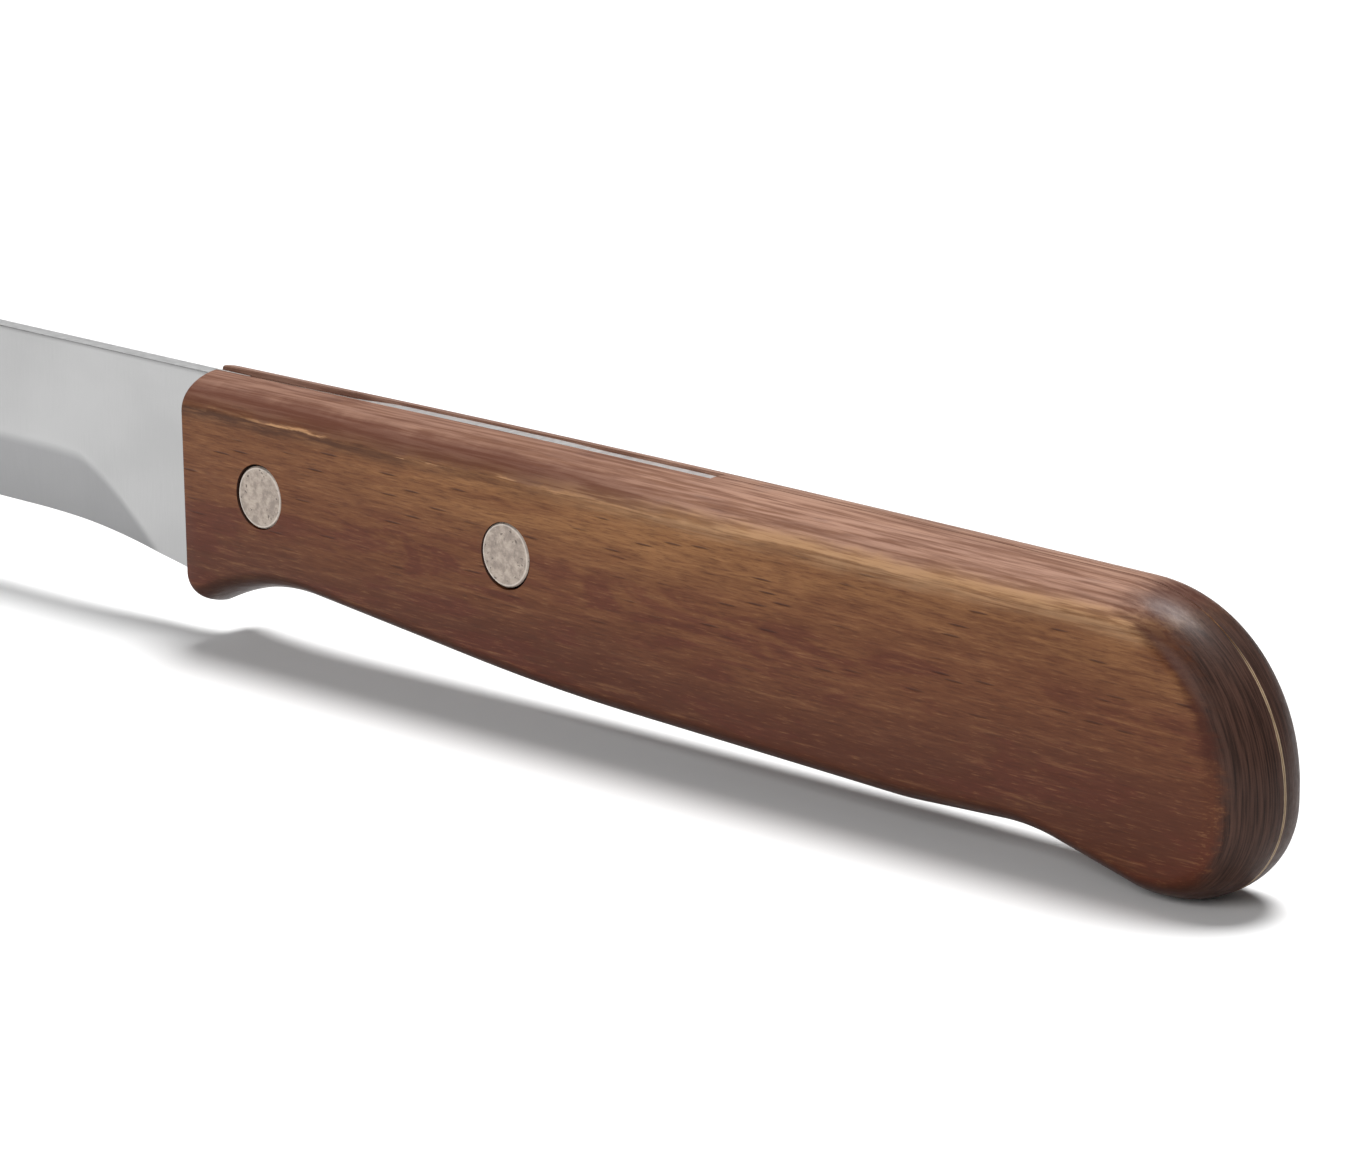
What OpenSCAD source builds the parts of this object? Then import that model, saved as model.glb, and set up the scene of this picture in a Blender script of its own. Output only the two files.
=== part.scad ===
// Boning knife: a narrow stamped blade whose half tang sits in a slot between two wooden
// handle scales. Two two-piece rivets clamp the front, and a glue line joins the rear.
// X runs from the tip (-) to the butt (+), Z runs up to the spine, Y is the thickness.

/* [Blade] */
// Length of the blade from the tip to the handle's front face
blade_length = 140; // [110:1:180]
// Height of the blade at its narrowest place near the heel
blade_height = 17.75; // [14:0.05:20]
// Thickness of the steel strip, the same in the blade and the tang
steel_thickness = 1.8; // [1.0:0.1:2.5]
// Extra height that the blade gains where it meets the handle
heel_flare = 3.1; // [0:0.1:3.5]
// Length over which the heel flare dies away
heel_flare_length = 28; // [15:1:40]
// How far the spine falls at the tip
tip_drop = 3; // [0:0.5:6]
// Height of the ground bevel above the edge
grind_height = 7.1; // [4:0.1:10]
// Distance from the handle to where the grind starts
grind_start = 8.7; // [5:0.1:15]
// Length of the curved plunge at the start of the grind
grind_plunge = 12.5; // [8:0.5:20]
// Thickness left at the cutting edge
edge_thickness = 0.3; // [0.2:0.05:0.6]

/* [Handle] */
// Length of the handle from its front face to the end of the butt
handle_length = 129.6; // [115:0.5:155]
// Thickness of the finished handle over both scales
handle_thickness = 10.4; // [8:0.2:16]
// How far the front face's top stands ahead of its foot
front_lean = 0.4; // [0:0.1:1]
// How far the left scale's front face stands ahead of the right one's
left_scale_lead = 0.8; // [0:0.1:1]
// Depth of the guard's lowest point below the top line
guard_depth = 23.1; // [22:0.1:28]
// Depth of the finger notch's peak below the top line
notch_depth = 18.7; // [16:0.05:21]
// Radius of the finger notch
notch_radius = 28; // [15:1:29]
// Depth of the belly under the palm below the top line
belly_depth = 23.7; // [22.6:0.1:28]
// Depth of the butt's hook below the top line
hook_depth = 26.2; // [25:0.1:32]
// How far the top line rises at its middle
crown = 0.5; // [0:0.1:2]
// How far the top line has fallen at the butt
butt_drop = 0.25; // [0:0.05:2]
// Radius of the butt's upper corner
butt_top_radius = 16.3; // [10:0.1:17]
// Radius of the butt's lower corner
butt_low_radius = 9.7; // [6:0.1:9.7]

/* [Handle edges] */
// Height of the rounding along the top edges
round_top = 3; // [1:0.1:3.5]
// Height of the rounding along the bottom edges
round_bottom = 2.6; // [0.5:0.1:3]
// Depth of the rounding at the front face
round_front = 0.15; // [0.05:0.05:1]
// Depth of the rounding around the butt
round_butt = 5; // [0.5:0.1:6]
// Distance from the blade's plane at which every rounding starts
round_flat = 0.1; // [0.1:0.1:3]

/* [Slot and tang] */
// Length of the tang slot from the handle's front face
slot_length = 65.4; // [55:0.2:80]
// Space on each side of the tang in its slot
slot_clearance = 0.02; // [0:0.01:0.1]
// Space between the tang's end and the slot's end
tang_end_gap = 0.3; // [0.1:0.1:1]
// How far the spine and the tang lie below the handle's top line
spine_drop = 0.5; // [0.2:0.1:1]
// How far the tang lies above the handle's bottom line
tang_bottom_gap = 0.9; // [0.3:0.1:2]
// Thickness of the glue line between the scales behind the tang
glue_thickness = 0.12; // [0.05:0.01:0.3]
// How far the glue line lies below the wood's surface
glue_recess = 0.15; // [0.05:0.05:0.5]

/* [Rivets] */
// Diameter of the rivet heads
head_diameter = 6; // [4:0.1:8]
// Thickness of the rivet heads
head_thickness = 1.4; // [0.8:0.1:2]
// Outer diameter of the rivets' hollow posts
post_diameter = 3.6; // [3:0.1:4.5]
// Diameter of the pins that are pressed into the posts
pin_diameter = 2.4; // [1.5:0.1:2.6]
// Distance from the handle's front face to the front rivet
front_rivet_x = 10.6; // [8:0.1:16]
// Distance between the two rivets
rivet_spacing = 33.1; // [25:0.1:38]
// Depth of the front rivet below the handle's top line
rivet_depth = 10.1; // [8:0.1:12]
// How much higher the rear rivet sits than the front one
rear_rivet_rise = 0.3; // [0:0.1:1]
// Depth of the heads below the wood's side faces
head_recess = 0.06; // [0:0.01:0.2]
// Width of the chamfer round each head
head_chamfer = 0.15; // [0.05:0.05:0.3]
// Space all round each head in its counterbore
head_clearance = 0.14; // [0.05:0.01:0.3]
// Space all round each post in its holes
post_clearance = 0.1; // [0.05:0.01:0.2]
// Space all round each pin in its post
pin_clearance = 0.01; // [0.01:0.01:0.05]

/* [Hidden] */

STEEL = "lightgray";
WOOD = "saddlebrown";
GLUE = "burlywood";
ALUMINIUM = "gainsboro";

corner_steps = 8;       // segments in each rounded corner of the handle's outline
round_steps = 6;        // segments across each rounded edge
blade_steps = 56;       // stations along the ground part of the blade
plunge_power = 1.4;     // shape of the plunge's curve
edge_power = 3;         // how late the edge turns up towards the tip
spine_power = 3;        // how late the spine falls towards the tip
grind_power = 0.5;      // how the grind narrows with the blade
eps = 0.01;             // overlap that keeps cuts clean
cut_margin = 5;         // how far the slot's cut starts ahead of the front face

half = handle_thickness / 2;
half_steel = steel_thickness / 2;
half_glue = glue_thickness / 2;
rivets = [[front_rivet_x, 0, -rivet_depth],
          [front_rivet_x + rivet_spacing, 0, rear_rivet_rise - rivet_depth]];
counterbore_depth = head_thickness + head_recess;
// The counterbores were drilled a little off the rivets' centres, each its own way.
bore_shifts = [[-0.05, 0.05], [0.11, -0.06]];
// The finished knife's origin: middle of its length, at the level of the hook's lowest point.
origin = [(handle_length - blade_length) / 2, 0, -hook_depth];

// ---- Rounded outlines ----

function unit(v) = v / norm(v);
function angle_of(v) = atan2(v[1], v[0]);
function short_turn(a) = a > 180 ? a - 360 : (a < -180 ? a + 360 : a);

// The arc of radius r that rounds corner p between its neighbours a and b.
function corner_arc(a, p, b, r, steps) =
    let (ua = unit(a - p),
         ub = unit(b - p),
         half_angle = acos(ua * ub) / 2,
         centre = p + unit(ua + ub) * r / sin(half_angle),
         along = r / tan(half_angle),
         from = angle_of(p + ua * along - centre),
         turn = short_turn(angle_of(p + ub * along - centre) - from))
    [for (k = [0:steps]) centre + r * [cos(from + turn * k / steps), sin(from + turn * k / steps)]];

// corners is a list of [x, z, radius].
function rounded(corners, steps) =
    let (n = len(corners),
         p = [for (c = corners) [c[0], c[1]]])
    [for (i = [0:n - 1]) each corner_arc(p[(i + n - 1) % n], p[i], p[(i + 1) % n], corners[i][2], steps)];

// The handle's side outline, moved in from each edge by its own amount.
function handle_corners(top, bottom, front, butt) = [
    [front - front_lean, -top, 0.5],                                 // front, top
    [front, bottom - guard_depth, 0.9],                              // front, foot of the guard
    [9.4, bottom - notch_depth, notch_radius],                       // finger notch
    [48, bottom - belly_depth + 1.2, 278],                           // start of the belly
    [handle_length - 38.4, bottom - belly_depth, 44],                // lowest place of the belly
    [handle_length - 24.2, bottom - belly_depth + 0.6, 23 + bottom], // hollow before the hook
    [handle_length - 11.6, bottom - hook_depth, 9 - bottom],         // front of the hook
    [handle_length - butt, bottom - hook_depth, butt_low_radius - butt],
    [handle_length - butt, -top - butt_drop, butt_top_radius - butt],
    [57, crown - top, 4000]                                          // middle of the top line
];

function handle_outline(top, bottom, front, butt) =
    rounded(handle_corners(top, bottom, front, butt), corner_steps);

// ---- Blade curves, each against the distance s from the handle ----

function tip_share(s) = max(0, (s - heel_flare_length) / (blade_length - heel_flare_length));
function heel_share(s) = max(0, 1 - s / heel_flare_length);
function spine_z(s) = -spine_drop - tip_drop * pow(tip_share(s), spine_power);
function height_at(s) =
    (blade_height - tip_drop * pow(tip_share(s), spine_power)) * (1 - pow(tip_share(s), edge_power))
    + heel_flare * pow(heel_share(s), 2);
function edge_z(s) = spine_z(s) - max(height_at(s), 0.4);
function plunge(s) = 1 - pow(1 - min(1, max(0.02, (s - grind_start) / grind_plunge)), plunge_power);
function grind_at(s) =
    grind_height * plunge(s) * pow(min(1, (spine_z(s) - edge_z(s)) / blade_height), grind_power);
function edge_half(s) = half_steel - (half_steel - edge_thickness / 2) * plunge(s);

// One cross-section of the ground blade, as six points. Near the tip the grind reaches the spine.
function blade_section(s) =
    let (top = spine_z(s),
         low = edge_z(s),
         rise = min(grind_at(s), 0.9 * (top - low)),
         e = edge_half(s),
         w = e + (half_steel - e) * rise / grind_at(s))
    [[-s, -w, top], [-s, w, top], [-s, w, low + rise],
     [-s, e, low], [-s, -e, low], [-s, -w, low + rise]];

// ---- Solids made from rings of points ----

// Fills an outline with upright triangles between its lower and upper chains of points.
function strip(p, low, up) =
    let (t = [for (i = low) min(len(up) - 1, len([for (j = up) if (p[j][0] < p[i][0]) j]))])
    concat([for (k = [0:len(low) - 2])
            if (up[t[k]] != low[k] && up[t[k]] != low[k + 1]) [low[k], low[k + 1], up[t[k]]]],
           [for (k = [0:len(low) - 2], j = [t[k]:1:t[k + 1] - 1])
            if (up[j + 1] != low[k + 1]) [up[j + 1], up[j], low[k + 1]]]);

// Rings all have the same number of points. The faces in cap, given for the first ring, close both ends.
module skin(rings, cap) {
    n = len(rings[0]);
    last = len(rings) - 1;
    points = [for (r = rings) each r];
    end = [for (f = cap) [for (i = [len(f) - 1:-1:0]) last * n + f[i]]];
    sides = [for (k = [0:last - 1], i = [0:n - 1]) let (j = (i + 1) % n)
             each [[k * n + i, (k + 1) * n + i, (k + 1) * n + j], [k * n + i, (k + 1) * n + j, k * n + j]]];
    polyhedron(points = points, faces = concat(cap, sides, end), convexity = 6);
}

module in_place() {
    translate(-origin) children();
}

// Lays a drawing of [x, z] points upright, centred on the blade's plane.
module upright(thickness) {
    rotate([90, 0, 0]) linear_extrude(height = thickness, center = true) children();
}

// A round bar along Y from y0 to y1.
module bar(d, y0, y1) {
    translate([0, y1, 0]) rotate([90, 0, 0]) cylinder(d = d, h = y1 - y0, $fn = 64);
}

// ---- Blade and tang ----

module tang_outline() {
    intersection() {
        polygon(handle_outline(spine_drop, tang_bottom_gap, 0, 0));
        translate([-eps, -hook_depth]) square([slot_length - tang_end_gap + eps, hook_depth]);
    }
}

module heel_outline() {
    steps = 8;
    stations = [for (k = [0:steps]) grind_start * k / steps];
    polygon(concat([[3, -spine_drop]], [for (s = stations) [-s, spine_z(s)]],
                   [for (k = [steps:-1:0]) [-stations[k], edge_z(stations[k])]],
                   [[3, edge_z(0) + 0.6]]));
}

module ground_blade() {
    first = grind_start;
    skin([for (k = [0:blade_steps]) blade_section(first + (blade_length - first) * k / blade_steps)],
         [[0, 1, 2, 3, 4, 5]]);
}

module blade() {
    color(STEEL) in_place() difference() {
        union() {
            upright(steel_thickness) tang_outline();
            upright(steel_thickness) heel_outline();
            ground_blade();
        }
        for (at = rivets)
            translate(at) bar(post_diameter + 2 * post_clearance, -half, half);
    }
}

// ---- Handle scales ----

// Share of the edge rounding, and distance from the blade's plane, of each ring of a scale.
function scale_rings() = concat(
    [for (k = [round_steps:-1:0]) let (a = 90 * k / round_steps)
     [1 - cos(a), round_flat + (half - round_flat) * sin(a)]],
    [[0, half_glue]]);

// The outline's points from the middle of its front top corner to the butt, below and above.
corner_points = corner_steps + 1;
butt_point = 8 * corner_points;
lower_chain = [for (i = [corner_steps / 2:butt_point]) i];
upper_chain = concat([for (i = [corner_steps / 2:-1:0]) i],
                     [for (i = [10 * corner_points - 1:-1:butt_point]) i]);

function outline_at(share, lead) =
    handle_outline(round_top * share, round_bottom * share, round_front * share - lead, round_butt * share);

module scale_block(lead) {
    skin([for (r = scale_rings()) [for (p = outline_at(r[0], lead)) [p[0], r[1], p[1]]]],
         strip(outline_at(1, lead), lower_chain, upper_chain));
}

// A scale on the left side, whose front face stands ahead by lead.
module scale_solid(lead) {
    slot_half = half_steel + slot_clearance;
    difference() {
        scale_block(lead);
        translate([-cut_margin, -1, -hook_depth - 1])
            cube([slot_length + cut_margin, slot_half + 1, hook_depth + 2]);
        for (i = [0:1]) translate(rivets[i]) {
            bar(post_diameter + 2 * post_clearance, -1, half - counterbore_depth + eps);
            translate([bore_shifts[i][0], 0, bore_shifts[i][1]])
                bar(head_diameter + 2 * head_clearance, half - counterbore_depth, half + 1);
        }
    }
}

module left_scale() {
    color(WOOD) in_place() scale_solid(left_scale_lead);
}

module right_scale() {
    color(WOOD) in_place() mirror([0, 1, 0]) scale_solid(0);
}

module glue_line() {
    color(GLUE) in_place() upright(glue_thickness) intersection() {
        polygon(handle_outline(glue_recess, glue_recess, glue_recess, glue_recess));
        translate([slot_length, -hook_depth]) square([handle_length - slot_length, hook_depth]);
    }
}

// ---- Rivets ----

// A head whose outer face is at y = half - head_recess.
module rivet_head() {
    outer = half - head_recess;
    translate([0, outer, 0]) rotate([90, 0, 0]) {
        cylinder(d1 = head_diameter - 2 * head_chamfer, d2 = head_diameter, h = head_chamfer, $fn = 64);
        translate([0, 0, head_chamfer])
            cylinder(d = head_diameter, h = head_thickness - head_chamfer, $fn = 64);
    }
}

// Head on the right side, with a hollow post that reaches across the handle.
module rivet_post(at) {
    inner = half - head_recess - head_thickness;
    color(ALUMINIUM) in_place() translate(at) mirror([0, 1, 0]) difference() {
        union() {
            rivet_head();
            bar(post_diameter, -inner + 0.2, inner + eps);
        }
        bar(pin_diameter + 2 * pin_clearance, -half, inner);
    }
}

// Head on the left side, with a solid pin that is pressed into the post.
module rivet_pin(at) {
    inner = half - head_recess - head_thickness;
    color(ALUMINIUM) in_place() translate(at) union() {
        rivet_head();
        bar(pin_diameter, -inner + 0.5, inner + eps);
    }
}

blade();
right_scale();
left_scale();
glue_line();
rivet_post(rivets[0]);  // front_rivet_post
rivet_pin(rivets[0]);  // front_rivet_pin
rivet_post(rivets[1]);  // rear_rivet_post
rivet_pin(rivets[1]);  // rear_rivet_pin
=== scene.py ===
# %% [markdown]
# # A boning knife
# A narrow steel blade runs into a slotted wooden handle. The two wooden scales are clamped by
# two flush rivets and glued behind the tang. Everything is in metres, in the frame of the packed
# model: X from the tip to the butt, Y through the thickness, Z up to the spine.
#
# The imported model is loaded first. Its rivets and glue line stay as they are and get better
# materials. Its blade and scales are right in size but coarse, so finer pieces stand in for them.

# %% Frame
import bpy
import bmesh
import math
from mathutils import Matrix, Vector


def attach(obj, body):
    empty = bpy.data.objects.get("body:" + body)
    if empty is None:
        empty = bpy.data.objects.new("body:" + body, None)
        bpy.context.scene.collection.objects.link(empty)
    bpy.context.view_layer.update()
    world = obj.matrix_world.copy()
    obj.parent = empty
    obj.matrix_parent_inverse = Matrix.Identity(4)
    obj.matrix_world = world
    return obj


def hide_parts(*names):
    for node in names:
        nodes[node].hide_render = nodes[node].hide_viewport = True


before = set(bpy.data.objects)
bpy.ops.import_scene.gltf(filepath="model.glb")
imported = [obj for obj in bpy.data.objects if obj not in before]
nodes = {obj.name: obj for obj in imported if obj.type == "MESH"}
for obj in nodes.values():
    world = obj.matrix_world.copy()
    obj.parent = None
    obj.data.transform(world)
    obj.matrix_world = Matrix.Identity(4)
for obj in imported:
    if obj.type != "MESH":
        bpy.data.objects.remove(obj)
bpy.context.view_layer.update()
print("nodes:", sorted(nodes))

# %% [markdown]
# ## Sizes
# A knife maker works from a handful of measures, in millimetres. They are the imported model's own,
# taken from the handle's front face and top line, and a piece drawn from them needs no fitting.

# %% Sizes
MM = 0.001
FRONT = 5.2            # the handle's front face along X, in millimetres
LENGTH = 129.6         # of the handle
HALF = 5.2             # half the handle's thickness
HOOK = 26.2            # depth of the hook's lowest point below the top line
TOP = HOOK             # the top line's height, as the hook's lowest point is at nought
CROWN = 0.5            # how far the top line rises at its middle
CROWN_AT = 57
BUTT_DROP = 0.25       # how far the top line has fallen at the butt
LEAN = 0.4             # how far the front face's top stands ahead of its foot
LEFT_LEAD = 0.8        # how far the left scale's front stands ahead of the right one's
FLAT = 0.1             # where the edge roundings start, from the middle plane
ROUND_TOP, ROUND_LOW, ROUND_FRONT, ROUND_BUTT = 3.0, 2.6, 0.15, 5.0
STEEL = 0.9            # half the steel's thickness
SLOT_END = 65.4
SLOT_ROOM = 0.02
RIVETS = ((10.6, -10.1), (43.7, -9.8))
BORE_SHIFT = ((-0.05, 0.05), (0.11, -0.06))
BORE_RADIUS = 3.14
BORE_DEPTH = 1.46


def place(x, y, z):
    """A point given from the handle's front face and top line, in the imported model's frame."""
    return Vector(((x + FRONT) * MM, y * MM, (z + TOP) * MM))


print("front face at", FRONT, "mm, top line at", TOP, "mm")

# %% [markdown]
# ## The handle's outline
# The handle is sawn to a side outline first: guard, finger notch, belly, hook and butt. It could
# be one free curve, but a maker thinks in corners that are rounded off, and so does this list.
# Each corner has its own radius, and an arc rounds it. The same list, moved in a little, also
# gives the outline at any depth of the rounded edges.

# %% Outline


def arc(a, p, b, r, steps):
    """Points of the arc of radius r that rounds the corner p between a and b."""
    ua, ub = (a - p).normalized(), (b - p).normalized()
    half = math.acos(max(-1, min(1, ua.dot(ub)))) / 2
    middle = p + (ua + ub).normalized() * r / math.sin(half)
    reach = r / math.tan(half)
    v0, v1 = p + ua * reach - middle, p + ub * reach - middle
    a0 = math.atan2(v0.y, v0.x)
    turn = math.atan2(v1.y, v1.x) - a0
    turn = (turn + math.pi) % (2 * math.pi) - math.pi
    return [middle + r * Vector((math.cos(a0 + turn * k / steps), math.sin(a0 + turn * k / steps)))
            for k in range(steps + 1)]


def outline(share, lead=0.0):
    """The handle's side outline in millimetres, moved in by a share of each edge's rounding."""
    top, low, front, butt = (share * v for v in (ROUND_TOP, ROUND_LOW, ROUND_FRONT, ROUND_BUTT))
    front -= lead
    corners = [                                         # along, height, radius, steps of the arc
        (front - LEAN, -top, 0.5, 10),                      # front of the top line
        (front, low - 23.1, 0.9, 8),                        # guard
        (9.4, low - 18.7, 28, 40),                          # finger notch
        (48, low - 22.5, 278, 30),                          # front of the belly
        (LENGTH - 38.4, low - 23.7, 44, 12),                # rear of the belly
        (LENGTH - 24.2, low - 23.1, 23 + low, 20),          # hollow before the hook
        (LENGTH - 11.6, low - HOOK, 9 - low, 10),           # front of the hook
        (LENGTH - butt, low - HOOK, 9.7 - butt, 24),        # foot of the butt
        (LENGTH - butt, -top - BUTT_DROP, 16.3 - butt, 34),     # head of the butt
        (CROWN_AT, CROWN - top, 4000, 60)]                  # crown of the top line
    ps = [Vector(c[:2]) for c in corners]
    return [q for i, (_, _, radius, steps) in enumerate(corners)
            for q in arc(ps[i - 1], ps[i], ps[(i + 1) % len(ps)], radius, steps)]


print("outline points:", len(outline(0)))

# %% [markdown]
# ## Skins
# Every solid here is a stack of rings. Joining each ring to the next with quads and closing both
# ends gives a watertight skin, which a cutter can work on. A block and a round bar are made the
# same way, to serve as cutters.

# %% Skins


def new_object(name, verts, faces):
    """A linked object whose doubled points are joined and whose faces all look outwards."""
    mesh = bpy.data.meshes.new(name)
    mesh.from_pydata(verts, [], faces)
    mesh.validate()
    bm = bmesh.new()
    bm.from_mesh(mesh)
    bmesh.ops.remove_doubles(bm, verts=bm.verts, dist=1e-7)
    bmesh.ops.recalc_face_normals(bm, faces=bm.faces)
    bm.to_mesh(mesh)
    bm.free()
    obj = bpy.data.objects.new(name, mesh)
    bpy.context.scene.collection.objects.link(obj)
    return obj


def skin(name, rings):
    """Joins rings of points, all of the same number, and closes both ends."""
    n = len(rings[0])
    faces = [[(k * n + i), (k * n + (i + 1) % n), ((k + 1) * n + (i + 1) % n), ((k + 1) * n + i)]
             for k in range(len(rings) - 1) for i in range(n)]
    faces += [list(range(n)), [(len(rings) - 1) * n + i for i in range(n)]]
    return new_object(name, [p for r in rings for p in r], faces)


def block(name, low, high):
    """A box between its lowest and highest corners, in metres."""
    (x0, y0, z0), (x1, y1, z1) = low, high
    corners = [(x0, y0), (x1, y0), (x1, y1), (x0, y1)]
    return skin(name, [[Vector((x, y, z)) for x, y in corners] for z in (z0, z1)])


def rod(name, x, z, y0, y1, radius, steps=96):
    """A round bar along Y, from the handle's own measures."""
    ring = [(x + radius * math.cos(math.tau * k / steps), z + radius * math.sin(math.tau * k / steps))
            for k in range(steps)]
    return skin(name, [[place(px, y, pz) for px, pz in ring] for y in (y0, y1)])


print("skins ready")

# %% [markdown]
# ## Smooth faces and crisp edges
# A sanded surface reads as one curve, while a cut edge stays crisp. All faces are shaded smooth,
# and an edge is marked sharp where its two faces meet at more than a given angle.

# %% Smoothing


def shade(obj, degrees=35):
    for f in obj.data.polygons:
        f.use_smooth = True
    bm = bmesh.new()
    bm.from_mesh(obj.data)
    for e in bm.edges:
        e.smooth = len(e.link_faces) == 2 and e.calc_face_angle(0) < math.radians(degrees)
    bm.to_mesh(obj.data)
    bm.free()


print("smoothing ready")

# %% [markdown]
# ## Cutting
# The slot is sawn and the rivet holes are drilled after the scale has been shaped. A Boolean
# modifier does the same here. Its result is kept as plain mesh, and the cutter is thrown away.

# %% Cutting


def cut(obj, cutter):
    m = obj.modifiers.new("cut", "BOOLEAN")
    m.operation, m.solver, m.object = "DIFFERENCE", "EXACT", cutter
    bpy.context.view_layer.update()
    baked = bpy.data.meshes.new_from_object(obj.evaluated_get(bpy.context.evaluated_depsgraph_get()))
    obj.modifiers.clear()
    old, obj.data = obj.data, baked
    baked.name = obj.name
    bpy.data.meshes.remove(old)
    bpy.data.objects.remove(cutter)


print("cutting ready")

# %% [markdown]
# ## Wooden scales
# Each scale is half the handle. Its inner face is the full outline. Towards the outside the
# outline shrinks along a quarter of an ellipse, which rounds every edge by its own amount: a lot
# at the butt, hardly at all at the front. Then the half slot is cut for the tang, and a shallow
# counterbore for each rivet head, drilled a hair off centre as a hand drill does.

# %% Scales


def scale(name, node, side, lead):
    """One wooden scale with its rounded edges, half slot and drilled holes."""
    steps = 16
    rings = [[(q.x, 0.06, q.y) for q in outline(0, lead)]]
    for k in range(steps + 1):
        a = math.pi / 2 * k / steps
        y = FLAT + (HALF - FLAT) * math.sin(a)
        rings.append([(q.x, y, q.y) for q in outline(1 - math.cos(a), lead)])
    obj = skin(name, [[place(x, side * y, z) for x, y, z in r] for r in rings])
    wall = side * (STEEL + SLOT_ROOM) * MM
    lip = -side * 1.0 * MM
    cut(obj, block("slot", ((FRONT - 5) * MM, min(wall, lip), -0.01),
                   ((FRONT + SLOT_END) * MM, max(wall, lip), 0.04)))
    for (x, z), (dx, dz) in zip(RIVETS, BORE_SHIFT):
        ends = sorted((side * (HALF - BORE_DEPTH), side * (HALF + 1)))
        cut(obj, rod("counterbore", x + dx, z + dz, *ends, BORE_RADIUS))
    shade(obj)
    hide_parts(node)
    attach(obj, "root")
    return obj


right = scale("right_wood", "right_scale", -1, 0)
left = scale("left_wood", "left_scale", 1, LEFT_LEAD)
print("scales:", len(right.data.polygons), len(left.data.polygons), "faces")

# %% [markdown]
# ## A helper for materials
# A finish is a chain of nodes: noises that give a pattern, ramps that pick out part of it, and
# mixes that lay one colour over another. This helper writes each of them in one line, so that
# a finish reads as a list of steps. All patterns are laid out in millimetres on the object.

# %% Paint


def srgb(r, g, b):
    """A colour as seen on a screen, turned into the linear values that Blender works with."""
    def line(c):
        c /= 255
        return c / 12.92 if c <= 0.04045 else ((c + 0.055) / 1.055) ** 2.4
    return line(r), line(g), line(b)


class Paint:
    """A material under construction."""

    def __init__(self, name):
        self.mat = bpy.data.materials.new(name)
        self.mat.use_nodes = True
        self.tree = self.mat.node_tree
        self.shader = self.tree.nodes["Principled BSDF"]
        self.point = self.node("ShaderNodeTexCoord").outputs["Object"]

    def node(self, kind, inputs=None, **settings):
        n = self.tree.nodes.new(kind)
        for k, v in settings.items():
            setattr(n, k, v)
        for k, v in (inputs or {}).items():
            if isinstance(v, bpy.types.NodeSocket):
                self.tree.links.new(v, n.inputs[k])
            else:
                n.inputs[k].default_value = v
        return n

    def math(self, op, a, b=0.0):
        return self.node("ShaderNodeMath", {0: a, 1: b}, operation=op).outputs[0]

    def product(self, first, *others):
        for v in others:
            first = self.math("MULTIPLY", first, v)
        return first

    def wobble(self, value, by, amount):
        """Shifts a value by up to half the amount either way, as a noise says."""
        return self.math("ADD", value, self.product(self.math("SUBTRACT", by, 0.5), amount))

    def scaled(self, factors, shift=(0, 0, 0)):
        """The object's own coordinates in millimetres, stretched by factors."""
        return self.node("ShaderNodeMapping", {"Vector": self.point, "Location": shift,
                                               "Scale": [f * 1000 for f in factors]}).outputs[0]

    def noise(self, vector, scale=1.0, detail=4.0, rough=0.5, distortion=0.0):
        return self.node("ShaderNodeTexNoise", {"Vector": vector, "Scale": scale, "Detail": detail,
                                                "Roughness": rough, "Distortion": distortion}).outputs[0]

    def ramp(self, value, low, high, out_low=0.0, out_high=1.0):
        """Eases from out_low to out_high as value goes from low to high."""
        return self.node("ShaderNodeMapRange", {"Value": value, "From Min": low, "From Max": high,
                                                "To Min": out_low, "To Max": out_high},
                         interpolation_type="SMOOTHSTEP").outputs[0]

    def mix(self, share, a, b):
        def colour(v):
            return v if isinstance(v, bpy.types.NodeSocket) else (*v, 1.0)
        return self.node("ShaderNodeMix", {0: share, 6: colour(a), 7: colour(b)},
                         data_type="RGBA").outputs[2]

    def split(self, vector):
        return self.node("ShaderNodeSeparateXYZ", {0: vector}).outputs

    def axes(self):
        """The surface point in millimetres, measured from the handle's front face and top line."""
        return self.split(self.scaled((1, 1, 1), (-FRONT, 0, -TOP)))

    def normal(self):
        """Which way the surface faces, as three values."""
        return self.split(self.node("ShaderNodeNewGeometry").outputs["Normal"])

    def bump(self, height, distance, strength):
        return self.node("ShaderNodeBump", {"Height": height, "Distance": distance * MM,
                                            "Strength": strength}).outputs[0]

    def finish(self, **inputs):
        for k, v in inputs.items():
            socket = self.shader.inputs[k.replace("_", " ")]
            if isinstance(v, bpy.types.NodeSocket):
                self.tree.links.new(v, socket)
            else:
                socket.default_value = v
        return self.mat


print("paint ready")

# %% [markdown]
# ## Wood: the grain
# The scales are beech. Four noises carry the whole look, all stretched along the handle as wood
# fibre is: broad clouds of stain, patches of a few millimetres, streaks, and single fibres.
# Noises never repeat, and they stay fine however close one looks. The other ones in the list
# serve the rays, the rounded top and the end grain.

# %% Grain


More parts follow.
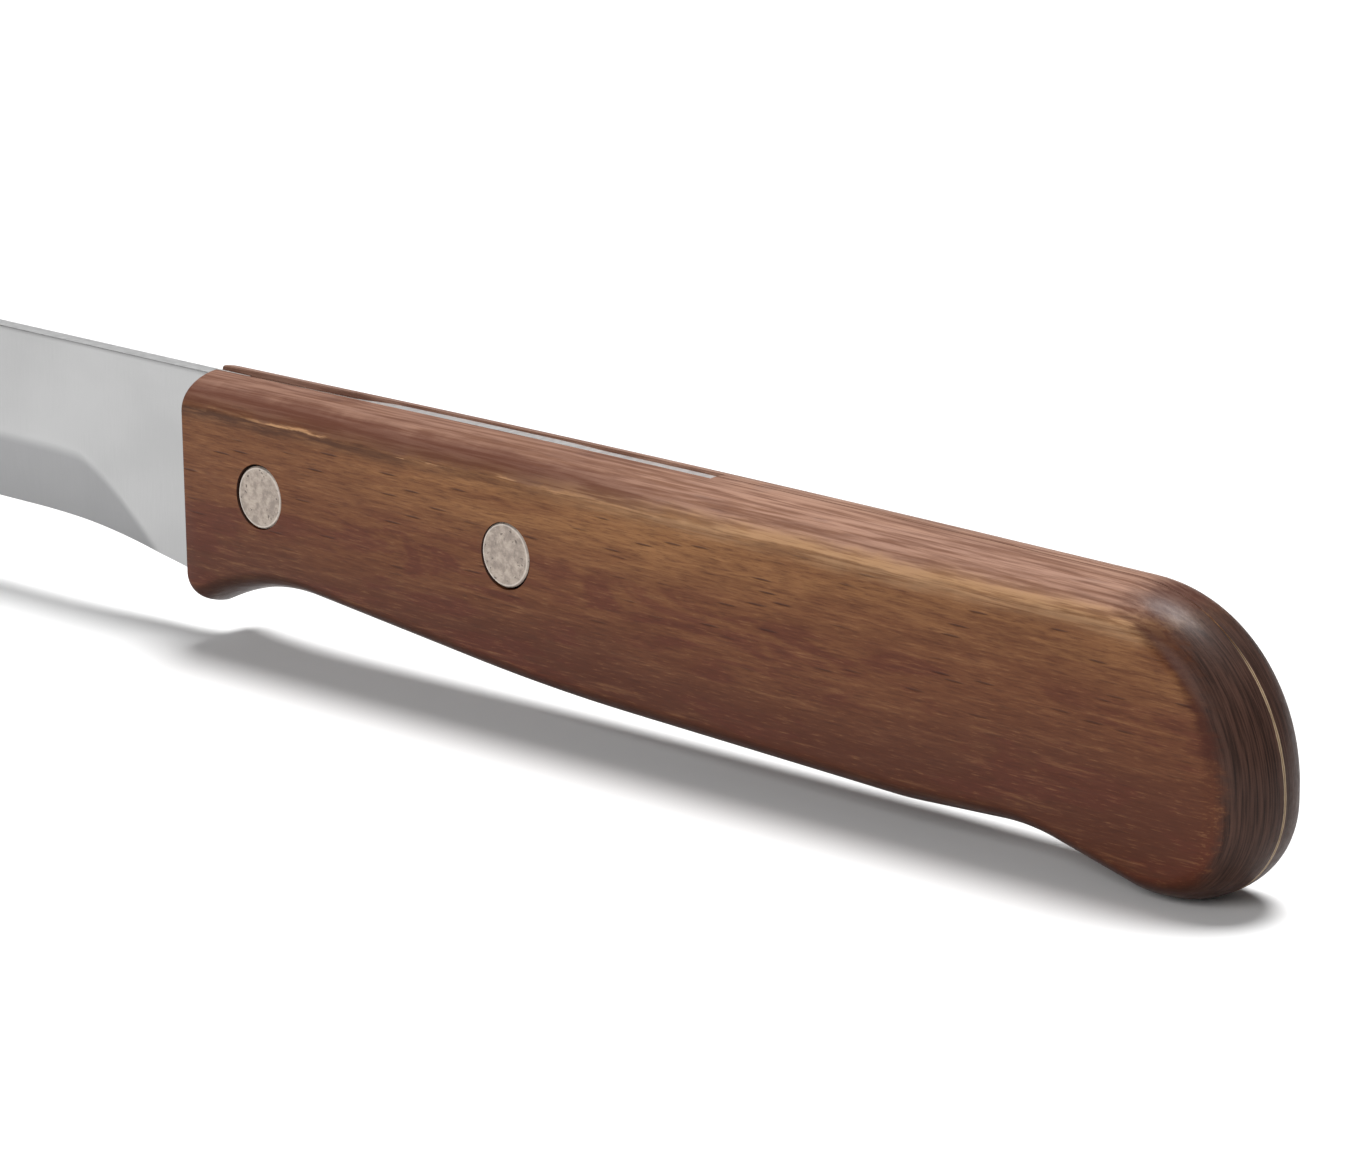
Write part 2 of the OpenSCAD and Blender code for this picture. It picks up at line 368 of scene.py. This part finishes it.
def grain(p, seed):
    slow = p.scaled((0.03, 0.16, 0.16), (seed * 2, 0, 3))
    return {
        "cloud": p.noise(slow, 1.0, 4, 0.55, 0.6),
        "patch": p.noise(p.scaled((0.07, 0.3, 0.33), (seed, 3, 0)), 1.0, 4, 0.6, 0.8),
        "streak": p.noise(p.scaled((0.12, 1.6, 1.7), (seed, 0, 0)), 1.0, 5, 0.65, 0.3),
        "fibre": p.noise(p.scaled((0.45, 5.0, 5.5), (seed, 4, 0)), 1.0, 4, 0.65, 0.2),
        "sheen": p.noise(p.scaled((0.1, 2.4, 2.4), (seed, 8, 0)), 1.0, 4, 0.6, 0.3),
        "ray field": p.noise(slow, 2.3, 2),
        "wave": p.noise(p.scaled((0.16, 0, 0), (seed, 0, 0)), 1.0, 4, 0.6),
        "end fibre": p.noise(p.scaled((0.3, 6.0, 0.16), (0, seed, 0)), 1.0, 4, 0.6, 0.3)}


print("grain ready")

# %% [markdown]
# ## Wood: the stain
# The reddish brown stain is darkest low on the handle, where the dark is partly painted shade, and
# golden near the upper edge, with dark red patches between. Streaks and fibres then darken and
# lighten it. Laying each over the last keeps every step simple and easy to tune.

# %% Stain


def stain(p, x, z, g):
    drift = p.wobble(z, g["cloud"], 9.0)
    # Darker low on the handle; the darkest colour is partly painted shade.
    base = p.mix(p.ramp(drift, -19.0, -11.0), srgb(80, 41, 24), srgb(106, 64, 37))
    golden = p.product(p.ramp(drift, -11.5, -5.5), p.ramp(g["patch"], 0.3, 0.6, 0.25, 1.0),
                       p.ramp(x, 8.0, 45.0, 0.25, 0.9))
    base = p.mix(golden, base, srgb(134, 92, 56))
    red = p.product(p.ramp(g["patch"], 0.47, 0.6), p.ramp(z, -7.0, -11.0), 0.75)
    base = p.mix(red, base, srgb(84, 38, 25))
    base = p.mix(p.ramp(x, 60.0, 112.0, 0.0, 0.3), base, srgb(78, 40, 25))
    base = p.mix(p.ramp(g["streak"], 0.42, 0.7, 0.0, 0.5), base, srgb(76, 38, 22))
    base = p.mix(p.ramp(g["streak"], 0.46, 0.28, 0.0, 0.28), base, srgb(150, 106, 68))
    base = p.mix(p.ramp(g["fibre"], 0.45, 0.7, 0.0, 0.55), base, srgb(66, 33, 19))
    return p.mix(p.ramp(g["fibre"], 0.45, 0.28, 0.0, 0.25), base, srgb(160, 116, 78))


print("stain ready")

# %% [markdown]
# ## Wood: the rays
# Beech shows its rays as short dark dashes along the grain. A Voronoi texture scatters one point
# in each cell. Cells that are long and low turn the spot round each point into a dash. A noise
# thins the dashes out, and they fade towards the lower edge and stop before the end grain.

# %% Rays


def rays(p, x, z, g, towards_butt):
    flat = p.node("ShaderNodeCombineXYZ", {0: p.product(x, 0.09), 1: p.product(z, 1.1)})
    cells = p.node("ShaderNodeTexVoronoi", {"Vector": flat.outputs[0], "Scale": 1.0},
                   voronoi_dimensions="2D")
    return p.product(p.ramp(cells.outputs["Distance"], 0.05, 0.14, 1.0, 0.0),
                     p.ramp(g["ray field"], 0.44, 0.56), p.ramp(z, -17.0, -10.0, 0.3, 1.0),
                     p.ramp(towards_butt, 0.3, 0.1))


print("rays ready")

# %% [markdown]
# ## Wood: the rounded top
# Sanding through the stain has left the rounded top pinker, and a painted sheen lightens it. A red
# brown band lies near the front and a painted warm highlight further back. Where the rounding starts,
# stain has settled in a wavy dark line, with painted pale highlights just above it. All of them
# follow one height that wavers along the handle.

# %% Rounded top


def rounded_top(p, base, x, z, g):
    height = p.wobble(z, g["wave"], 1.6)
    # Painted sheen: the rounded top is lighter and pinker where the sheen noise is high.
    pink_and_sheen = p.mix(p.ramp(g["sheen"], 0.35, 0.65), srgb(118, 86, 73), srgb(170, 135, 118))
    base = p.mix(p.product(p.ramp(height, -2.9, -1.6), 0.75), base, pink_and_sheen)
    red = p.product(p.ramp(height, -2.9, -2.2), p.ramp(height, -0.2, -1.2, 0.35, 1.0),
                    p.ramp(x, 75.0, 45.0), 0.75)
    base = p.mix(red, base, srgb(82, 46, 36))
    # Painted highlight: a warm, streaky band on the rounding towards the rear.
    warm_highlight = p.product(p.ramp(height, -4.6, -2.6), p.ramp(height, -1.2, -2.4),
                     p.ramp(g["sheen"], 0.4, 0.6, 0.3, 1.0), p.ramp(x, 40.0, 75.0, 0.1, 0.75))
    base = p.mix(warm_highlight, base, srgb(186, 146, 108))
    dark = p.product(p.ramp(height, -4.3, -3.2), p.ramp(height, -2.5, -3.0),
                     p.ramp(x, 14.0, 45.0, 0.75, 0.25), p.ramp(g["streak"], 0.36, 0.52, 0.45, 1.0))
    base = p.mix(dark, base, srgb(54, 27, 15))
    # Painted highlight: pale glints just above the dark line.
    ridge_highlight = p.product(p.ramp(height, -3.0, -2.8), p.ramp(height, -2.5, -2.7),
                     p.ramp(g["sheen"], 0.5, 0.62), p.ramp(x, 60.0, 35.0, 0.25, 1.0), 0.7)
    return p.mix(ridge_highlight, base, srgb(196, 150, 108))


print("rounded top ready")

# %% [markdown]
# ## Wood: the undersides and the butt
# What faces down is darkened as painted shade. Where the surface turns towards the butt, a dark red
# patch of painted shade comes first and then the end grain, which drinks more stain and goes grey
# brown with fine upright streaks. How far the surface has turned is read from its normal, so the
# border follows the shape. Along the middle plane the seam between the scales shows as a pale line.

# %% Butt


def end_grain(p, base, turned, g):
    tone = p.mix(p.ramp(g["end fibre"], 0.3, 0.7), srgb(38, 24, 19), srgb(72, 50, 42))
    return p.mix(turned, base, tone)


def seam(p, base, x, y, z):
    jitter = p.noise(p.scaled((0, 0, 0.5)), 1.0, 3)
    near = p.wobble(p.math("ABSOLUTE", y), jitter, 0.25)
    pale = p.product(p.ramp(near, 0.1, 0.2, 1.0, 0.0), p.ramp(z, -3.0, -7.0),
                     p.ramp(x, 121.0, 124.0), 0.8)
    return p.mix(pale, base, srgb(180, 158, 130))


print("butt ready")

# %% [markdown]
# ## Wood: the whole finish
# The steps are laid on in the order of the maker's own work. A little bump lets the fibres catch
# the light and sinks the rays, and a thin clear coat stands for the varnish. The two scales are
# from different pieces of wood, so each has its own seed.

# %% Wood


def wood(name, seed):
    p = Paint(name)
    x, y, z = p.axes()
    normal = p.normal()
    g = grain(p, seed)
    dash = rays(p, x, z, g, normal[0])
    base = p.mix(p.product(dash, 0.7), stain(p, x, z, g), srgb(48, 22, 13))
    base = rounded_top(p, base, x, z, g)
    # Painted shade: surfaces that face down are darkened.
    base = p.mix(p.ramp(normal[2], -0.15, -0.7, 0.0, 0.65), base, srgb(46, 24, 15))
    ragged = p.wobble(normal[0], g["streak"], 0.35)
    # Painted shade: a dark red patch where the surface begins to turn towards the butt.
    red = p.product(p.ramp(ragged, 0.0, 0.3), p.ramp(z, -17.0, -11.0), p.ramp(x, 104.0, 112.0), 0.8)
    base = p.mix(red, base, srgb(58, 24, 15))
    turned = p.ramp(ragged, 0.3, 0.6)
    base = seam(p, end_grain(p, base, turned, g), x, y, z)
    height = p.math("SUBTRACT", p.product(g["fibre"], 0.5), dash)
    height = p.math("ADD", height, p.product(g["sheen"], 0.5))
    rough = p.math("ADD", p.ramp(g["streak"], 0.3, 0.7, 0.34, 0.48), p.product(turned, 0.12))
    return p.finish(Base_Color=base, Roughness=rough, Normal=p.bump(height, 0.04, 0.7),
                    Coat_Weight=0.08, Coat_Roughness=0.25, Specular_IOR_Level=0.1)


right.data.materials.append(wood("stained_beech_right", 3.0))
left.data.materials.append(wood("stained_beech_left", 41.0))
print("wood:", len(right.data.materials[0].node_tree.nodes), "nodes")

# %% [markdown]
# ## The blade's curves
# The blade is stamped from strip steel and ground on both sides to a thin edge. Four formulas
# give the whole shape: the spine, the edge, the plunge where the grind comes in behind the
# heel, and from them half the thickness at any point.

# %% Blade curves
BLADE = 140.0          # length of the blade ahead of the handle
SPINE_DROP, TIP_DROP = 0.5, 3
BLADE_HEIGHT = 17.75
FLARE, FLARE_LENGTH = 3.1, 28.0
GRIND, GRIND_START, PLUNGE = 7.1, 8.7, 12.5
HALF_EDGE = 0.15
HOLLOW = 0.03          # how much the ground band is hollowed, as a share of its taper


def tip_share(s):
    return max(0, (s - FLARE_LENGTH) / (BLADE - FLARE_LENGTH))


def spine(s):
    return -SPINE_DROP - TIP_DROP * tip_share(s) ** 3


def edge(s):
    t = tip_share(s)
    height = (BLADE_HEIGHT - TIP_DROP * t ** 3) * (1 - t ** 3) + FLARE * max(0, 1 - s / FLARE_LENGTH) ** 2
    return spine(s) - max(height, 0.4)


def half_at(s, z):
    """Half the steel's thickness at a distance s from the handle and a height z."""
    t = (s - GRIND_START) / PLUNGE
    share = 1 - (1 - min(1, max(0.0, t))) ** 1.4
    if share <= 0:
        return STEEL
    rise = GRIND * share * min(1, (spine(s) - edge(s)) / BLADE_HEIGHT) ** 0.5
    thin = STEEL - (STEEL - HALF_EDGE) * share
    u = min(1, (z - edge(s)) / rise)
    u = u - HOLLOW * math.sin(math.pi * min(1, u)) if u < 1 else 1
    return thin + (STEEL - thin) * u


print("edge at the heel:", round(edge(0), 2), "mm")

# %% [markdown]
# ## Blade
# The blade is a skin over cross-sections, close together near the plunge, where the shape changes
# most. It reaches a little into the handle, so no gap shows. How much steel the grinder took off
# is stored with each point, because the finish needs to know where the ground band is.

# %% Blade


def section(s):
    """One cross-section: up the right side and over the spine, then down the left side."""
    d = max(s, 0)
    top, low = spine(d), edge(d)
    zs = [low + (top - 0.12 - low) * (k / 48) for k in range(49)]
    side = [(z, half_at(d, z)) for z in zs]
    w = side[-1][1]
    side += [(top - 0.03, w - 0.03), (top, w - 0.12)]
    loop = [(-h, z) for z, h in side] + [(h, z) for z, h in reversed(side)]
    return [place(-s, h, z) for h, z in loop]


def blade():
    stations = [-3 + 0.5 * k for k in range(70)] + [32 + (BLADE - 32) * k / 120 for k in range(121)]
    obj = skin("blade_ground", [section(s) for s in stations])
    shade(obj, 40)
    worked = obj.data.attributes.new("worked", "FLOAT", "POINT")
    for v, w in zip(obj.data.vertices, worked.data):
        s, z = FRONT - v.co.x / MM, v.co.z / MM - TOP
        thin = (STEEL - half_at(max(s, 0), z)) / (STEEL - HALF_EDGE)
        w.value = min(1, max(0, thin) * 6)
    return obj


ground = blade()
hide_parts("blade")
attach(ground, "root")
print("blade:", len(ground.data.polygons), "faces")

# %% [markdown]
# ## Satin steel
# A fine belt leaves scratches across the blade. The ground band is darker, a painted reflection of
# the shaded floor, and the faces that look up, the spine and the tang's top, are lighter, a painted
# highlight. The scratches live in the roughness and in a very shallow bump, so the steel glints
# differently as one walks round it.

# %% Steel


def steel(name):
    p = Paint(name)
    across = p.noise(p.scaled((6.0, 1.0, 0.35)), 1.0, 4, 0.6)
    along = p.noise(p.scaled((0.12, 1.0, 5.0)), 1.0, 4, 0.6)
    cloud = p.noise(p.scaled((0.05, 0.2, 0.08)), 1.0, 3, 0.5)
    tone = p.math("ADD", p.product(across, 0.35), p.product(cloud, 0.65))
    base = p.mix(p.ramp(tone, 0.35, 0.65), srgb(168, 168, 168), srgb(178, 178, 178))
    worked = p.node("ShaderNodeAttribute", attribute_name="worked").outputs["Fac"]
    # Painted reflection: the ground band is darker, as if it mirrored the shaded floor.
    base = p.mix(p.product(worked, 0.8), base, srgb(136, 136, 137))
    # Painted highlight: faces that look up, the spine and the tang's top, are lighter.
    base = p.mix(p.ramp(p.normal()[2], 0.75, 0.95), base, srgb(236, 236, 236))
    height = p.math("ADD", p.product(across, 0.6), p.product(along, 0.2))
    return p.finish(Base_Color=base, Metallic=1.0, Roughness=p.ramp(across, 0.3, 0.7, 0.36, 0.44),
                    Normal=p.bump(height, 0.006, 0.5))


ground.data.materials.append(steel("satin_steel"))
print("steel:", len(ground.data.materials[0].node_tree.nodes), "nodes")

# %% [markdown]
# ## Tang
# Inside the handle the strip goes on as the half tang. It follows the handle's outline, a little
# lower than the wood all round. Its upper edge shows as a line between the scales, bright with the
# steel's painted highlight on faces that look up: deep at the front, nearly flush in the middle and
# a little deeper again at its end.

# %% Tang
TANG_START = 1
TANG_GAP = 0.3         # between the tang's end and the slot's end
TANG_ABOVE = 0.9       # the tang's height above the handle's lower outline


def ease(x, a, b):
    t = min(1, max(0, (x - a) / (b - a)))
    return t * t * (3 - 2 * t)


def tang_top(x):
    wood_top = CROWN * (1 - ((x - CROWN_AT) / CROWN_AT) ** 2)
    return wood_top - 0.66 + 0.24 * ease(x, 17, 24) - 0.1 * ease(x, 44, 52)


def tang_low(x, q):
    """The lowest crossing of the closed outline q at x, raised by the tang's gap."""
    return TANG_ABOVE + min(a.y + (b.y - a.y) * (x - a.x) / (b.x - a.x)
                            for a, b in zip(q, q[1:] + q[:1])
                            if min(a.x, b.x) <= x <= max(a.x, b.x) and a.x != b.x)


def tang(steps=80):
    """The half tang, cut from the handle's outline and set a little below it."""
    q = outline(0)
    end = SLOT_END - TANG_GAP
    xs = [TANG_START + k * (end - TANG_START) / steps for k in range(steps + 1)]
    obj = skin("tang", [[place(x, h * STEEL, z) for h, z in (
        (-1, tang_top(x)), (1, tang_top(x)), (1, tang_low(x, q)), (-1, tang_low(x, q)))] for x in xs])
    shade(obj, 30)
    return obj


half_tang = tang()
half_tang.data.materials.append(ground.data.materials[0])
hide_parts("blade")
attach(half_tang, "root")
print("tang:", len(half_tang.data.polygons), "faces")

# %% [markdown]
# ## Rivets
# The rivet heads were sanded flush with the wood. They are a soft warm grey, mottled, with fine
# scratches and small pits, and a brighter worn rim. Their sides, down in the gap round each head,
# are darkened with painted shade. The heads are round and true already, so only their material is
# new. The distance from each head's own centre tells the rim from the middle.

# %% Rivets


def rivet_metal(name, cx, cz, seed):
    p = Paint(name)
    x, _, z = p.axes()
    dx = p.math("SUBTRACT", x, cx)
    dz = p.math("SUBTRACT", z, cz)
    r = p.math("SQRT", p.math("ADD", p.product(dx, dx), p.product(dz, dz)))
    mottled = p.noise(p.scaled((1.3, 1.3, 1.3), (seed, 0, 0)), 1.0, 5, 0.65)
    lines = p.noise(p.scaled((1.6, 1.0, 5.0), (seed, 0, 0)), 1.0, 4, 0.65)
    base = p.mix(p.ramp(mottled, 0.35, 0.65), srgb(142, 130, 121), srgb(178, 165, 153))
    base = p.mix(p.ramp(lines, 0.4, 0.75, 0.0, 0.35), base, srgb(126, 114, 105))
    pits = p.noise(p.scaled((2.6, 2.6, 2.6), (seed, 2, 0)), 1.0, 2, 0.5)
    pit = p.product(p.ramp(pits, 0.64, 0.7), p.ramp(r, 0.9, 2.0))
    base = p.mix(p.product(pit, 0.8), base, srgb(84, 74, 68))
    rim = p.product(p.ramp(r, 2.68, 2.8), p.ramp(r, 2.84, 2.92, 1.0, 0.2), 0.45)
    base = p.mix(rim, base, srgb(226, 218, 208))
    # Painted shade: the sides of each head, down in the gap, are darkened.
    outwards = p.math("ABSOLUTE", p.normal()[1])
    base = p.mix(p.ramp(outwards, 0.6, 0.3), base, srgb(30, 22, 18))
    height = p.math("SUBTRACT", p.product(lines, 0.4), pit)
    return p.finish(Base_Color=base, Metallic=0.55, Roughness=0.52, Normal=p.bump(height, 0.03, 0.6))


for i, (x, z) in enumerate(RIVETS):
    finish = rivet_metal(f"sanded_rivet_{i + 1}", x, z, 7.0 * i + 1)
    for part in ("post", "pin"):
        obj = nodes[f"{('front', 'rear')[i]}_rivet_{part}"]
        obj.data.materials.clear()
        obj.data.materials.append(finish)
print("rivets:", len(RIVETS), "with two parts each")

# %% [markdown]
# ## Glue
# Behind the tang the scales are glued to each other, and the film shows as a hairline. Along the
# top it has taken the stain and is dark red. At the butt it is a pale cream. One material does
# both, with the change placed along the handle, because it is one film.

# %% Glue


def cured_glue():
    p = Paint("cured_glue")
    x = p.axes()[0]
    base = p.mix(p.ramp(x, 116.0, 124.0), srgb(70, 34, 22), srgb(190, 166, 132))
    blotches = p.noise(p.scaled((0.8, 1, 0.8)), 1.0, 3)
    base = p.mix(p.ramp(blotches, 0.3, 0.7, 0, 0.4), base, srgb(110, 76, 54))
    return p.finish(Base_Color=base, Roughness=0.6)


nodes["glue_line"].data.materials.clear()
nodes["glue_line"].data.materials.append(cured_glue())
print("glue finished")

# %% [markdown]
# ## Floor and surround
# The floor is plain and pale, and reaches far enough to fill the view from every side. A faint
# white surround fills the shadow and gives the steel something to reflect. The Standard view
# transform keeps white white, where the default one greys it.

# %% Floor
FLOOR_REACH = 15       # metres from the middle to each side

bpy.context.scene.view_settings.view_transform = "Standard"
floor = block("floor", (-FLOOR_REACH, -FLOOR_REACH, -0.01), (FLOOR_REACH, FLOOR_REACH, -0.00002))
floor.data.materials.append(Paint("pale_floor").finish(Base_Color=(0.9, 0.9, 0.9, 1), Roughness=0.9))

world = bpy.data.worlds.new("surround")
bpy.context.scene.world = world
world.use_nodes = True
background = world.node_tree.nodes["Background"]
background.inputs["Color"].default_value = (1, 1, 1, 1)
background.inputs["Strength"].default_value = 0.13
print("floor:", 2 * FLOOR_REACH, "m wide")

# %% [markdown]
# ## Lights
# A wide, soft sun from above and a little behind lights the floor evenly as far as one can see,
# which a lamp close by can't do. Its width of 30 degrees makes the shadow soft. One area lamp in
# front lifts the side of the handle and draws a sheen on the varnish.

# %% Lights


def light(data, towards):
    """Hangs a light that shines along a direction."""
    obj = bpy.data.objects.new(data.name, data)
    obj.rotation_euler = towards.to_track_quat("-Z", "Y").to_euler()
    bpy.context.scene.collection.objects.link(obj)
    return obj


sun = bpy.data.lights.new("top_light", "SUN")
sun.energy, sun.angle = 4.3, math.radians(30)
top_light = light(sun, Vector((0.05, -0.22, -0.77)))

panel = bpy.data.lights.new("front_light", "AREA")
panel.shape, panel.size, panel.size_y, panel.energy = "RECTANGLE", 0.6, 0.6, 5.3
panel_at, panel_aim = Vector((0.2, -0.9, 0.5)), Vector((0.05, 0, 0))
front_light = light(panel, panel_aim - panel_at)
front_light.location = panel_at
print("lights: a sun and a panel")

# %% [markdown]
# ## Camera
# A long lens, low and from the butt end, looks along the handle towards the blade. A long lens
# keeps the handle's proportions, where a short one would swell the butt.

# %% Camera
data = bpy.data.cameras.new("camera")
data.lens, data.sensor_width = 159.25, 36.0
data.clip_start, data.clip_end = 0.01, 20
camera = bpy.data.objects.new("camera", data)
camera.location = (0.426518, -0.370941, 0.150311)
look = Vector((0.065773, 0.0, 0.015442)) - camera.location
camera.rotation_euler = look.to_track_quat("-Z", "Y").to_euler()
bpy.context.scene.collection.objects.link(camera)
bpy.context.scene.camera = camera
print("camera:", round(look.length, 3), "m from the handle")
